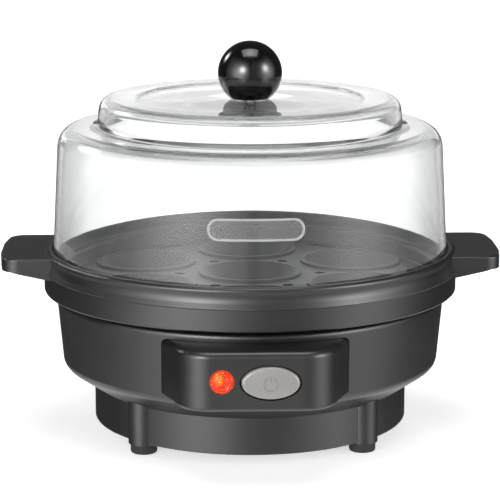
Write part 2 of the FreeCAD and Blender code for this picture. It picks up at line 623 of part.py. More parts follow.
def lamp_sleeve():
    """Soft sleeve that grips the lamp inside the lens socket."""
    return cyl_y(3.55, LENS_X, LENS_Z, -83.9, -76.0).cut(
        cyl_y(2.45, LENS_X, LENS_Z, -85, -70))


def lamp_resistor():
    body = Part.makeCylinder(1.5, 6.6, V(LENS_X - 1.0, -67.9, LENS_Z), V(0, 1, 0))
    tail = cyl_y(0.35, LENS_X - 1.0, LENS_Z, -61.4, -60.0)
    return unite([body, tail])


# ---------------------------------------------------------------- connections
BLOCK_X = (-9.0, 0.0, 9.0)


def terminal_block():
    block = box(-14.0, 14.0, 38.0, 50.0, 14.05, 22.5)
    block = unite([block] + [box(x - 3.6, x + 3.6, 40.0, 48.0, 22.4, 26.0) for x in BLOCK_X])
    holes = [cyl_y(1.9, x, 19.0, 36.0, 52.0) for x in BLOCK_X]
    holes += [cyl(1.7, x, 44.0, 18.0, 28.0) for x in BLOCK_X]
    return block.cut(holes)


def terminal_screws():
    return group([screw(x, 44.0, 21.6, 19.2, 1.0, 1.55, 1.4, up=False) for x in BLOCK_X])


def cord_gland():
    """Rear bush for the supply cord, with a collar each side of the wall."""
    bush = cyl_y(5.9, 0, 37.0, 71.0, 80.0)
    collar = cyl_y(8.6, 0, 37.0, 76.9, 79.4)
    collar = collar.makeFillet(0.7, [e for e in collar.Edges if e.BoundBox.YMin > 79.3])
    nose = Part.makeCone(6.2, 5.2, 92.72 - 79.0, V(0, 79.0, 37.0), V(0, 1, 0))
    nut = cyl_y(8.0, 0, 37.0, 68.6, 71.6)
    wall = lathe([(70.0, 20.0), (BOWL_R + 0.25, BOWL_CORNER), (LIP_R + 0.25, LIP_TOP),
                  (70.0, LIP_TOP)])
    collar = collar.cut(wall)
    gland = unite([bush, collar, nose, nut])
    return gland.cut(cyl_y(3.5, 0, 37.0, 60.0, 95.0))


def cord_clamp():
    bridge = front_prism([(-15.5, 27.1), (15.5, 27.1), (15.5, 25.3), (5.5, 25.3), (3.2, 22.8),
                          (-3.2, 22.8), (-5.5, 25.3), (-15.5, 25.3)], 54.5, 61.5)
    return bridge.cut([cyl(1.5, x, 58.0, 20, 30) for x in (-11.5, 11.5)])


def clamp_screws():
    return group([screw(x, 58.0, 25.25, 36.0, 1.15, 2.6, 1.4) for x in (-11.5, 11.5)])


def lead(points, radius=1.1, bend=3.0):
    return pipe(points, radius, bend)


def lead_live():
    """Terminal block to the switch, along the left side of the base."""
    return lead([(-9.0, 37.5, 19.0), (-9.0, 30.0, 19.0), (-46.0, 20.0, 19.0),
                 (-46.0, -30.0, 20.6), (-24.0, -48.0, 22.6), (-0.3, -50.5, 26.0),
                 (-0.3, -54.0, 36.9), (-0.3, -59.2, 36.9)], bend=2.2)


def lead_neutral():
    """Terminal block to the right heater pin."""
    ex, ey = element_path()[0]
    return lead([(9.0, 37.5, 19.0), (9.0, 33.5, 19.0), (ex, ey + 1.0, 18.0), (ex, ey, 23.4)],
                bend=1.5)


def lead_earth():
    return lead([(0.0, 37.5, 19.0), (0.0, 30.0, 19.0), (0.0, 25.4, 19.5), (0.0, 25.4, 24.8)],
                bend=2.0)


def lead_switched():
    """Switch to the thermal fuse and on to the thermostat."""
    return lead([(10.1, -59.0, 36.9), (10.1, -52.0, 36.9), (14.0, -44.0, 27.0),
                 (16.5, -34.0, 27.0), (14.6, -30.5, 31.0), (12.6, -30.5, 31.0)], bend=1.6)


def lead_heater():
    """Thermostat to the left heater pin."""
    ex, ey = element_path()[1]
    return lead([(-4.6, 0.0, 21.3), (-4.6, 0.0, 17.0), (ex, ey - 4.0, 17.0), (ex, ey, 23.4)],
                bend=1.5)


def lead_lamp():
    return lead([(LENS_X - 1.0, -59.9, LENS_Z), (LENS_X - 1.0, -57.2, LENS_Z),
                 (LENS_X - 4.0, -52.0, 28.0), (-38.0, -20.0, 16.5), (-38.0, 10.0, 16.5),
                 (-20.0, 33.0, 16.5)], 0.8, 1.2)


NODES = {
    "lid_dome": lid_dome, "lid_badge": lid_badge, "lid_knob": lid_knob,
    "knob_washer": knob_washer, "knob_screw": knob_screw,
    "egg_tray": egg_tray,
    "base_housing": base_housing, "control_pod": control_pod, "bottom_shell": bottom_shell,
    "foot_pads": foot_pads, "housing_screws": housing_screws, "pod_screws": pod_screws,
    "rating_label": rating_label,
    "heating_plate": heating_plate, "plate_seal": plate_seal,
    "heating_element": heating_element, "heater_casting": heater_casting,
    "plate_brackets": plate_brackets, "bracket_screws": bracket_screws,
    "thermostat": thermostat, "thermostat_bracket": thermostat_bracket,
    "thermostat_screws": thermostat_screws, "thermal_fuse": thermal_fuse,
    "fuse_clip": fuse_clip, "earth_tab": earth_tab,
    "power_button": power_button, "button_spring": button_spring, "switch_body": switch_body,
    "indicator_lens": indicator_lens, "neon_lamp": neon_lamp, "lamp_sleeve": lamp_sleeve,
    "lamp_resistor": lamp_resistor,
    "terminal_block": terminal_block, "terminal_screws": terminal_screws,
    "cord_gland": cord_gland, "cord_clamp": cord_clamp, "clamp_screws": clamp_screws,
    "lead_live": lead_live, "lead_neutral": lead_neutral, "lead_earth": lead_earth,
    "lead_switched": lead_switched, "lead_heater": lead_heater, "lead_lamp": lead_lamp,
}

os.makedirs("parts", exist_ok=True)
for name, make in NODES.items():
    shape = make()
    print(name, len(shape.Solids), round(shape.Volume, 1), shape.isValid())
    shape.exportStep("parts/%s.step" % name)
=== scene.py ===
"""Electric egg cooker: a clear stepped lid with a ball knob, an egg tray with two side handles, and
a base whose front pod carries an indicator lens and a push button. Outlines are in millimetres, as
on a drawing, and MM turns them into metres."""

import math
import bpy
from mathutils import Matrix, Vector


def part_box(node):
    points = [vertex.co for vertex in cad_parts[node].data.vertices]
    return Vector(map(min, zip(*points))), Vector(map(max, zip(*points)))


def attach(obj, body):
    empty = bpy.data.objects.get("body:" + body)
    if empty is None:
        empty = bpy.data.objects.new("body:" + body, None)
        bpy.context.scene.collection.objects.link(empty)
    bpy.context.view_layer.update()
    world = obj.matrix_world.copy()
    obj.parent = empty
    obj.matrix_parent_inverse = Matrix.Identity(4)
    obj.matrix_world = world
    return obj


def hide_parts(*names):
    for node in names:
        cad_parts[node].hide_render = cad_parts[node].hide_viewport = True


bl_info = {
    "name": "Egg Cooker",
    "version": (1, 0, 0),
    "blender": (4, 5, 0),
    "location": "View3D > Sidebar > Egg Cooker",
    "description": "Builds the outside of an egg cooker around its mechanical frame",
    "category": "Object",
}

import bmesh
import bpy
from mathutils import Matrix, Vector

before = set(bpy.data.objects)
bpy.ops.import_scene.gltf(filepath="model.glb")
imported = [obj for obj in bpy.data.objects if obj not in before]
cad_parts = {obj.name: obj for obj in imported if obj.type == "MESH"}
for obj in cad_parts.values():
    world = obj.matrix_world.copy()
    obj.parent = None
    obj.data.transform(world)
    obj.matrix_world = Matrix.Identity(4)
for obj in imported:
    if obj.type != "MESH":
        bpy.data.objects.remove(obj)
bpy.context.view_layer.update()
MM = 0.001

# Outer radius and height of the lid's wall, where it ends and where it meets the flat step.
LID_FOOT = (78.7, 69.1)
LID_STEP = (75.9, 121.4)

# In metres: where the camera stands, and the point that it looks at.
CAMERA_PLACE = (-0.0257, -0.8666, 0.2533)
CAMERA_AIM = (0.0, 0.0, 0.0709)

# Name, place, aim, width, height and power of each lamp.
LAMPS = (
    ("overhead", (0.0, -0.1, 1.3), (0.0, 0.0, 0.08), 0.9, 0.7, 5.0),
    ("back_fill", (0.5, 1.5, 1.0), (0.0, 0.0, 0.06), 0.8, 0.8, 4.0),
    ("backdrop", (0.0, 3.0, 1.35), (0.0, 0.0, 0.12), 3.4, 2.4, 32.0),
)

# Azimuth, elevation, sharpness and strength of each soft glow in the surroundings.
GLOWS = (
    (-29, 16, 60.0, 19.0), (-41, 5, 10.0, 5.4), (58, 18, 60.0, 14.0),
    (63, 6, 12.0, 3.9), (0, 81, 34.0, 3.6), (-128, 26, 160.0, 16.0),
)
ROOM_LIGHT = 0.055


# ------------------------------------------------------------------ settings
def length(name, description, default):
    return bpy.props.FloatProperty(name=name, description=description, default=default,
                                   min=0.0, precision=5, unit="LENGTH")


def colour(name, description, default):
    return bpy.props.FloatVectorProperty(name=name, description=description, default=default,
                                         size=3, min=0.0, max=1.0, subtype="COLOR")


def reach(node, axis):
    """Half the width of a node along one axis, in metres."""
    low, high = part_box(node)
    return (high[axis] - low[axis]) / 2


class CookerSizes(bpy.types.PropertyGroup):
    lid_wall: length("Lid wall", "Thickness of the clear lid", 0.0024)
    knob_radius: length("Knob radius", "Radius of the ball knob", reach("lid_knob", 0))
    lens_radius: length("Lens radius", "Radius of the indicator lens", reach("indicator_lens", 0))
    button_width: length("Button width", "Width of the oval button", reach("power_button", 0) * 2)
    button_height: length("Button height", "Height of the oval button",
                          reach("power_button", 2) * 2)
    round_steps: bpy.props.IntProperty(name="Round steps", default=192, min=24, max=512,
                                       description="Faces around each turned piece")


class CookerColours(bpy.types.PropertyGroup):
    charcoal: colour("Charcoal", "Moulded body, pod and tray", (0.0122, 0.0122, 0.0125))
    lid: colour("Lid", "Tint of the clear lid", (0.965, 0.97, 0.972))
    knob: colour("Knob", "Gloss black ball", (0.004, 0.004, 0.0045))
    button: colour("Button", "Satin push button", (0.35, 0.343, 0.335))
    lens: colour("Lens", "Indicator lens", (1.0, 0.075, 0.012))
    rubber: colour("Rubber", "Feet and cord bush", (0.018, 0.018, 0.018))
    floor: colour("Floor", "Pale studio floor", (0.9, 0.9, 0.9))


class CookerSettings(bpy.types.PropertyGroup):
    sizes: bpy.props.PointerProperty(type=CookerSizes, name="Sizes",
                                     description="Sizes of the cooker's pieces")
    colours: bpy.props.PointerProperty(type=CookerColours, name="Colours",
                                       description="Colours of the cooker's pieces")


# ------------------------------------------------------------------ shaders
class Value:
    """A shader socket in an expression; every operator adds its Math node."""

    def __init__(self, shader, socket):
        self.shader, self.socket = shader, socket

    def _math(self, operation, a, b):
        return self.shader.add("ShaderNodeMath", {"operation": operation}, {0: a, 1: b})

    def __add__(self, other):
        return self._math("ADD", self, other)

    def __sub__(self, other):
        return self._math("SUBTRACT", self, other)

    def __rsub__(self, other):
        return self._math("SUBTRACT", other, self)

    def __mul__(self, other):
        return self._math("MULTIPLY", self, other)

    def __truediv__(self, other):
        return self._math("DIVIDE", self, other)

    def __pow__(self, other):
        return self._math("POWER", self, other)

    __radd__, __rmul__ = __add__, __mul__


class Shader:
    """Builds the nodes of one material, or of a world where one is given."""

    def __init__(self, name, owner=None):
        self.owner = owner or bpy.data.materials.new(name)
        self.owner.use_nodes = True
        self.nodes, self.links = self.owner.node_tree.nodes, self.owner.node_tree.links
        self.nodes.clear()

    def add(self, kind, settings=None, inputs=None, output=0):
        """A node of any kind: its settings first, then its sockets' values or links."""
        node = self.nodes.new(kind)
        for key, value in (settings or {}).items():
            setattr(node, key, value)
        for key, value in (inputs or {}).items():
            if isinstance(value, Value):
                self.links.new(value.socket, node.inputs[key])
            else:
                node.inputs[key].default_value = value
        return Value(self, node.outputs[output])

    def place(self, stretch=(1.0, 1.0, 1.0), centre=(0.0, 0.0, 0.0), turn=(0.0, 0.0, 0.0)):
        """Object coordinates, moved to a centre, turned and stretched."""
        at = self.add("ShaderNodeTexCoord", output="Object")
        return self.add("ShaderNodeMapping", {"vector_type": "TEXTURE"},
                        {"Vector": at, "Location": centre, "Rotation": turn,
                         "Scale": tuple(1 / s for s in stretch)})

    def noise(self, scale, detail=2.0, rough=0.5, **placing):
        return self.add("ShaderNodeTexNoise", {},
                        {"Vector": self.place(**placing), "Scale": scale, "Detail": detail,
                         "Roughness": rough})

    def clamp(self, value, low=0.0, high=1.0):
        return self.add("ShaderNodeClamp", {}, {"Value": value, "Min": low, "Max": high})

    def blend(self, factor, first, second):
        """Colour between two colours."""
        return self.add("ShaderNodeMix", {"data_type": "RGBA"},
                        {0: factor, 6: first, 7: second}, output=2)

    def bump(self, height, distance, strength=1.0):
        return self.add("ShaderNodeBump", {},
                        {"Height": height, "Distance": distance, "Strength": strength},
                        output="Normal")

    def solid(self, **sockets):
        """The Principled surface; underscores in the names stand for spaces."""
        return self.add("ShaderNodeBsdfPrincipled", {},
                        {key.replace("_", " "): value for key, value in sockets.items()})

    def finish(self, surface, kind="ShaderNodeOutputMaterial"):
        node = self.nodes.new(kind)
        self.links.new(surface.socket, node.inputs["Surface"])
        return self.owner


def tone(rgb, factor=1.0):
    """An opaque colour, lighter or darker by a factor."""
    return tuple(min(1.0, c * factor) for c in rgb) + (1.0,)


def moulded(name, rgb, rough=0.36, grain=1500.0, depth=1.2e-5, spread=0.16, coat=0.0,
            specular=0.6):
    """Moulded plastic: fine sparked texture, faint flow marks and uneven gloss."""
    s = Shader(name)
    flow = s.noise(22.0, 3.0, stretch=(1.0, 1.0, 2.2))
    grains = s.noise(grain, 3.0, 0.6)
    specks = s.noise(grain * 0.32, 2.0)
    shade = flow * 0.5 + grains * 0.35 + specks * 0.15
    base = s.blend(s.clamp((shade - 0.5) * 2.2 + 0.5), tone(rgb, 1 - spread),
                   tone(rgb, 1 + spread))
    gloss = s.clamp(rough + (flow - 0.5) * 0.14 + (grains - 0.5) * 0.12, 0.05, 1.0)
    relief = grains * 0.8 + specks * 0.25
    return s.finish(s.solid(Base_Color=base, Roughness=gloss, Specular_IOR_Level=specular,
                            Coat_Weight=coat, Coat_Roughness=0.12,
                            Normal=s.bump(relief, depth)))


def polished(name, rgb, rough=0.05):
    """Polished gloss plastic with a trace of waviness and fine dust."""
    s = Shader(name)
    wave = s.noise(60.0, 1.0)
    dust = s.noise(2600.0, 4.0, 0.7)
    specks = s.clamp((dust - 0.66) * 12.0)
    base = s.blend(specks * 0.12, tone(rgb), (0.12, 0.12, 0.12, 1.0))
    return s.finish(s.solid(Base_Color=base, Roughness=s.clamp(rough + specks * 0.2 + wave * 0.02),
                            Specular_IOR_Level=0.5, Coat_Weight=0.1, Coat_Roughness=0.02,
                            Normal=s.bump(wave, 6e-5, 0.5)))


def clear(name, rgb, rough=0.008, ior=1.49):
    """Clear moulded plastic that lets the lamps through, with painted shade on upright walls:
    greyer where seen edge-on, near black at the silhouette.
    """
    s = Shader(name)
    normal = s.add("ShaderNodeTexCoord", output="Normal")
    up = s.add("ShaderNodeVectorMath", {"operation": "DOT_PRODUCT"},
               {0: normal, 1: (0.0, 0.0, 1.0)}, output="Value")
    level = s.add("ShaderNodeMath", {"operation": "ABSOLUTE"}, {0: up})
    facing = s.add("ShaderNodeLayerWeight", {}, {"Blend": 0.5}, output="Facing")
    # Painted shade: upright walls seen edge-on get a greyer tint, and close to their silhouette a
    # near-black one, standing in for the dark lines that refraction draws there.
    side = s.clamp(1 - level * 1.3)
    edge = s.clamp((facing - 0.46) * 6.0) * side
    painted_rim_shade = s.clamp((facing - 0.8) * 7.0) * side
    wave = s.noise(38.0, 2.0, stretch=(1.0, 1.0, 0.4))
    haze = s.noise(420.0, 3.0)
    tint = s.blend(wave, tone(rgb, 0.985), tone(rgb, 1.01))
    # The painted edge shade goes into the tint here.
    tint = s.blend(painted_rim_shade, s.blend(edge, tint, tone(rgb, 0.64)), tone(rgb, 0.12))
    body = s.solid(Base_Color=tint, Roughness=s.clamp(rough + (haze - 0.5) * 0.02, 0.0, 1.0),
                   IOR=ior, Transmission_Weight=1.0, Normal=s.bump(wave, 8e-5, 0.35))
    shadow = s.add("ShaderNodeLightPath", output="Is Shadow Ray")
    open_air = s.add("ShaderNodeBsdfTransparent", {}, {"Color": tone(rgb, 0.97)})
    clearer = s.clamp(shadow + level * 0.2)
    return s.finish(s.add("ShaderNodeMixShader", {}, {0: clearer, 1: body, 2: open_air}))


def frosted(name, rgb, half, height, radius):
    """Frosted capsule plaque: milky, finely grained, more see-through inside its rim."""
    s = Shader(name)
    split = s.add("ShaderNodeSeparateXYZ", {}, {0: s.place()}).socket.node
    across, up = Value(s, split.outputs["X"]), Value(s, split.outputs["Z"])
    reach_x = s.clamp(s.add("ShaderNodeMath", {"operation": "ABSOLUTE"}, {0: across}) - half)
    rim = s.clamp(((reach_x ** 2.0 + (up - height) * (up - height)) ** 0.5 - radius) * 3000.0)
    grain = s.noise(1800.0, 3.0)
    cloud = s.noise(120.0, 2.0)
    base = s.blend(cloud, tone(rgb, 0.92), tone(rgb, 1.0))
    return s.finish(s.solid(Base_Color=base, Roughness=s.clamp(0.32 + (grain - 0.5) * 0.2),
                            Alpha=s.clamp(0.12 + rim * 0.28 + (cloud - 0.5) * 0.05),
                            Normal=s.bump(grain, 1e-5)))


def metal(name, rgb, rough=0.3, stretch=(1.0, 1.0, 14.0), scale=420.0, spread=0.12, heat=None):
    """Drawn or brushed metal, with heat tint where given."""
    s = Shader(name)
    lines = s.noise(scale, 3.0, stretch=stretch)
    blotch = s.noise(70.0, 2.0)
    base = s.blend(lines, tone(rgb, 1 - spread), tone(rgb, 1 + spread))
    if heat:
        base = s.blend(s.clamp((blotch - 0.45) * 3.0), base, tone(heat))
    gloss = s.clamp(rough + (lines - 0.5) * 0.2 + (blotch - 0.5) * 0.12, 0.05, 1.0)
    return s.finish(s.solid(Base_Color=base, Roughness=gloss, Metallic=1.0,
                            Normal=s.bump(lines, 8e-6)))


def rubber(name, rgb, rough=0.72):
    s = Shader(name)
    grain = s.noise(1900.0, 3.0)
    wear = s.noise(140.0, 2.0)
    base = s.blend(s.clamp(wear * 0.6 + grain * 0.4), tone(rgb, 0.75), tone(rgb, 1.35))
    return s.finish(s.solid(Base_Color=base, Roughness=s.clamp(rough + (wear - 0.5) * 0.16),
                            Specular_IOR_Level=0.35, Normal=s.bump(grain, 2e-5)))


def painted_lens_glow(name, rgb, centre):
    """Lens lit with painted light in place of the lamp behind it: prism rings, painted glints and a
    painted highlight up and left of its middle.
    """
    s = Shader(name)
    flat = s.place(centre=centre, stretch=(1.0, 0.0001, 1.0))
    out = s.add("ShaderNodeVectorMath", {"operation": "LENGTH"}, {0: flat}, output="Value")
    warp = s.noise(500.0, 1.0)
    rings = s.add("ShaderNodeMath", {"operation": "SINE"},
                  {0: out * 7200.0 + (warp - 0.5) * 3.0}) * 0.5 + 0.5
    # Painted highlight up and left of the middle, and painted glints on small cells.
    near = s.add("ShaderNodeVectorMath", {"operation": "LENGTH"},
                 {0: s.place(centre=(centre[0] - 0.0011, centre[1], centre[2] + 0.0012),
                             stretch=(1.0, 0.0001, 0.8))}, output="Value")
    glints = s.add("ShaderNodeTexVoronoi", {"feature": "F1"},
                   {"Vector": s.place(centre=centre), "Scale": 1100.0}, output="Distance")
    painted_glint = s.clamp(1.1 - glints * 2.4) ** 1.5
    painted_hot_spot = s.clamp(1.25 - near * 560.0)
    # Mix of the painted highlight and glints that turns the painted glow yellow.
    heat = s.clamp(painted_hot_spot * (0.4 + painted_glint * 1.6) + painted_glint * rings * s.clamp(out * 700.0 - 1.6) * 1.3)
    base = s.blend(rings, tone(rgb, 0.2), tone(rgb, 0.35))
    # Painted glow, emitted by the lens in place of the neon lamp behind it: deep red through the
    # rings, yellow at the painted highlight and glints.
    deep = s.blend(rings, (0.56, 0.006, 0.001, 1.0), (1.0, 0.05, 0.006, 1.0))
    glow = s.blend(heat, deep, (1.0, 0.68, 0.1, 1.0))
    return s.finish(s.solid(Base_Color=base, Roughness=s.clamp(0.14 + (rings - 0.5) * 0.08),
                            Emission_Color=glow, Emission_Strength=0.85,
                            Specular_IOR_Level=0.2, Normal=s.bump(rings, 1.0e-4, 0.4)))


def satin(name, rgb, rough=0.34):
    """Satin paint on the button: very fine metallic flake under a soft gloss."""
    s = Shader(name)
    flake = s.noise(3000.0, 2.0)
    sheen = s.noise(90.0, 2.0, stretch=(1.0, 1.0, 3.0))
    base = s.blend(s.clamp(flake * 0.7 + sheen * 0.3), tone(rgb, 0.9), tone(rgb, 1.1))
    return s.finish(s.solid(Base_Color=base, Roughness=s.clamp(rough + (flake - 0.5) * 0.14),
                            Metallic=s.clamp(0.12 + (flake - 0.5) * 0.1),
                            Normal=s.bump(flake, 8e-6)))


def insulation(name, rgb):
    """Extruded wire insulation with faint marks along it."""
    s = Shader(name)
    scuff = s.noise(260.0, 3.0)
    grain = s.noise(1600.0, 2.0)
    base = s.blend(scuff, tone(rgb, 0.8), tone(rgb, 1.2))
    return s.finish(s.solid(Base_Color=base, Roughness=s.clamp(0.38 + (scuff - 0.5) * 0.2),
                            Normal=s.bump(grain, 1e-5)))


# ------------------------------------------------------------------ meshes
def arcs(outline, step=9.0):
    """Closed outline of (a, b[, radius]) corners, with each radius turned into an arc."""
    points, count = [], len(outline)
    for i, corner in enumerate(outline):
        here = Vector(corner[:2])
        radius = corner[2] if len(corner) > 2 else 0.0
        if radius <= 0:
            points.append(here)
            continue
        before = (Vector(outline[i - 1][:2]) - here).normalized()
        after = (Vector(outline[(i + 1) % count][:2]) - here).normalized()
        half = before.angle(after) / 2
        middle = here + (before + after).normalized() * (radius / math.sin(half))
        start = here + before * (radius / math.tan(half)) - middle
        sweep = math.pi - 2 * half
        if before.cross(after) > 0:
            sweep = -sweep
        steps = max(2, math.ceil(abs(math.degrees(sweep)) / step))
        for k in range(steps + 1):
            spin = Matrix.Rotation(sweep * k / steps, 2)
            points.append(middle + spin @ start)
    return points


def new_object(name, bm, sharp=28.0):
    """Object from a bmesh: doubles merged, faces outwards, smooth up to a crease angle."""
    bmesh.ops.remove_doubles(bm, verts=bm.verts, dist=2e-7)
    bmesh.ops.dissolve_degenerate(bm, edges=bm.edges, dist=1e-8)
    bmesh.ops.recalc_face_normals(bm, faces=bm.faces)
    mesh = bpy.data.meshes.new(name)
    bm.to_mesh(mesh)
    bm.free()
    return show_mesh(name, mesh, sharp)


def show_mesh(name, mesh, sharp=28.0):
    """Object for a mesh, smooth up to a crease angle in degrees."""
    mesh.shade_smooth()
    mesh.set_sharp_from_angle(angle=math.radians(sharp))
    obj = bpy.data.objects.new(name, mesh)
    bpy.context.scene.collection.objects.link(obj)
    return obj


def skin(bm, loops, closed=False, capped=True):
    """Faces between loops of equal length, joined end to end where closed, or capped."""
    rows = [[bm.verts.new(Vector(p) * MM) for p in loop] for loop in loops]
    pairs = list(zip(rows, rows[1:] + rows[:1])) if closed else list(zip(rows, rows[1:]))
    for lower, upper in pairs:
        for k in range(len(lower)):
            n = (k + 1) % len(lower)
            bm.faces.new((lower[k], lower[n], upper[n], upper[k]))
    if capped and not closed:
        bm.faces.new(rows[0])
        bm.faces.new(rows[-1])


def turned(name, outline, x=0.0, y=0.0, along="Z", steps=None, sharp=28.0):
    """Piece turned about an upright axis through (x, y), or about one along Y at (x, z)."""
    steps = steps or bpy.context.scene.cooker.sizes.round_steps
    bm = bmesh.new()
    points, loops = arcs(outline), []
    for k in range(steps):
        a = 2 * math.pi * k / steps
        ring = [(x + p.x * math.cos(a), y + p.x * math.sin(a), p.y) for p in points]
        loops.append(ring if along == "Z" else [(u, w, v) for u, v, w in ring])
    skin(bm, loops, closed=True)
    return new_object(name, bm, sharp)


def stacked(name, levels, sharp=28.0):
    """Piece skinned over levels, each a list of (x, y, z) points."""
    bm = bmesh.new()
    skin(bm, levels)
    return new_object(name, bm, sharp)


def plain(obj):
    """Applies an object's modifiers and leaves a plain mesh at the origin."""
    bpy.context.view_layer.update()
    evaluated = obj.evaluated_get(bpy.context.evaluated_depsgraph_get())
    mesh = bpy.data.meshes.new_from_object(evaluated)
    obj.modifiers.clear()
    obj.data = mesh
    return obj


def carve(obj, cutters, operation="DIFFERENCE", sharp=28.0):
    """Cuts, or joins, other solids into a piece."""
    for cutter in cutters:
        m = obj.modifiers.new("carve", "BOOLEAN")
        m.operation, m.solver, m.object = operation, "EXACT", cutter
    plain(obj)
    for cutter in cutters:
        bpy.data.objects.remove(cutter)
    obj.data.shade_smooth()
    obj.data.set_sharp_from_angle(angle=math.radians(sharp))
    return obj


def dress(obj, body, slot, material, *nodes):
    """Gives a finished piece its material and its body, and hides the CAD nodes that it stands for.
    """
    obj.data.materials.clear()
    obj.data.materials.append(material)
    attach(obj, body)
    if nodes:
        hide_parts(*nodes)
    return obj


def paint(material, *nodes):
    """Puts a finish on CAD nodes that show as they are."""
    for node in nodes:
        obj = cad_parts[node]
        if not obj.material_slots:
            obj.data.materials.append(material)
        for place in obj.material_slots:
            place.material = material


# ------------------------------------------------------------------ repeats
def repeat_tree():
    """Geometry Nodes: the modifier's own mesh repeated around the upright axis."""
    tree = bpy.data.node_groups.new("repeat_on_circle", "GeometryNodeTree")
    tree.is_modifier = True
    for name, kind in (("Piece", "Geometry"), ("Count", "Int"), ("Circle Radius", "Float"),
                       ("First Angle", "Float"), ("Material", "Material")):
        tree.interface.new_socket(name, in_out="INPUT", socket_type="NodeSocket" + kind)
    tree.interface.new_socket("Pieces", in_out="OUTPUT", socket_type="NodeSocketGeometry")

    def node(kind, **links):
        made = tree.nodes.new(kind)
        for key, source in links.items():
            tree.links.new(source, made.inputs[key.replace("_", " ")])
        return made

    given = tree.nodes.new("NodeGroupInput").outputs
    turn = node("ShaderNodeCombineXYZ", Z=given["First Angle"]).outputs[0]
    circle = node("GeometryNodeMeshCircle", Vertices=given["Count"],
                  Radius=given["Circle Radius"]).outputs[0]
    places = node("GeometryNodeTransform", Geometry=circle, Rotation=turn).outputs[0]
    split = node("ShaderNodeSeparateXYZ",
                 Vector=tree.nodes.new("GeometryNodeInputPosition").outputs[0])
    angle = tree.nodes.new("ShaderNodeMath")
    angle.operation = "ARCTAN2"
    tree.links.new(split.outputs["Y"], angle.inputs[0])
    tree.links.new(split.outputs["X"], angle.inputs[1])
    facing = node("ShaderNodeCombineXYZ", Z=angle.outputs[0]).outputs[0]
    copies = node("GeometryNodeInstanceOnPoints", Points=places, Instance=given["Piece"],
                  Rotation=facing).outputs[0]
    solid = node("GeometryNodeRealizeInstances", Geometry=copies).outputs[0]
    done = node("GeometryNodeSetMaterial", Geometry=solid, Material=given["Material"])
    node("NodeGroupOutput", Pieces=done.outputs[0])
    return tree


def repeated(piece, count, radius, first, material):
    """Turns one piece, made on the axis, into copies around a circle, as one plain mesh."""
    tree = bpy.data.node_groups.get("repeat_on_circle") or repeat_tree()
    m = piece.modifiers.new("repeat", "NODES")
    m.node_group = tree
    given = {"Count": count, "Circle Radius": radius, "First Angle": first, "Material": material}
    for socket in tree.interface.items_tree:
        if socket.in_out == "INPUT" and socket.name in given:
            m[socket.identifier] = given[socket.name]
    return plain(piece)


# ------------------------------------------------------------------ operators
class CookerOperator:
    """What the operators share: they run on the open scene and can be undone."""

    bl_options = {"REGISTER", "UNDO"}

    @classmethod
    def poll(cls, context):
        return context.scene is not None


class COOKER_OT_stage(CookerOperator, bpy.types.Operator):
    """Camera, pale floor, soft lights and surroundings"""

    bl_idname = "cooker.stage"
    bl_label = "Stage"

    def execute(self, context):
        scene = context.scene
        scene.view_settings.view_transform = "Standard"
        colours = scene.cooker.colours

        camera = bpy.data.cameras.new("camera")
        camera.lens, camera.sensor_width = 158.96, 36.0
        camera.clip_end = 50.0
        holder = bpy.data.objects.new("camera", camera)
        scene.collection.objects.link(holder)
        look_at(holder, CAMERA_PLACE, CAMERA_AIM)
        scene.camera = holder

        bm = bmesh.new()
        bmesh.ops.create_circle(bm, cap_ends=True, segments=96, radius=6.0)
        floor = new_object("floor", bm)
        s = Shader("floor")
        cloud = s.noise(2.0, 2.0)
        base = s.blend(cloud, tone(colours.floor, 0.985), tone(colours.floor))
        floor.data.materials.append(s.finish(s.solid(
            Base_Color=base, Roughness=0.9, Specular_IOR_Level=0.0,
            Emission_Color=(1.0, 1.0, 1.0, 1.0), Emission_Strength=0.62)))
        floor.visible_glossy = False
        floor.visible_diffuse = False

        surround(scene)
        for name, place, aim, width, height, watts in LAMPS:
            lamp = bpy.data.lights.new(name, "AREA")
            lamp.shape, lamp.size, lamp.size_y, lamp.energy = "RECTANGLE", width, height, watts
            holder = bpy.data.objects.new(name, lamp)
            scene.collection.objects.link(holder)
            look_at(holder, place, aim)
            holder.visible_camera = holder.visible_transmission = False
            holder.visible_glossy = name != "back_fill"
        return {"FINISHED"}


def aimed(azimuth, elevation):
    """Unit vector at an azimuth from the front, to the right, and an elevation, in degrees."""
    a, e = math.radians(azimuth), math.radians(elevation)
    return math.sin(a) * math.cos(e), -math.cos(a) * math.cos(e), math.sin(e)


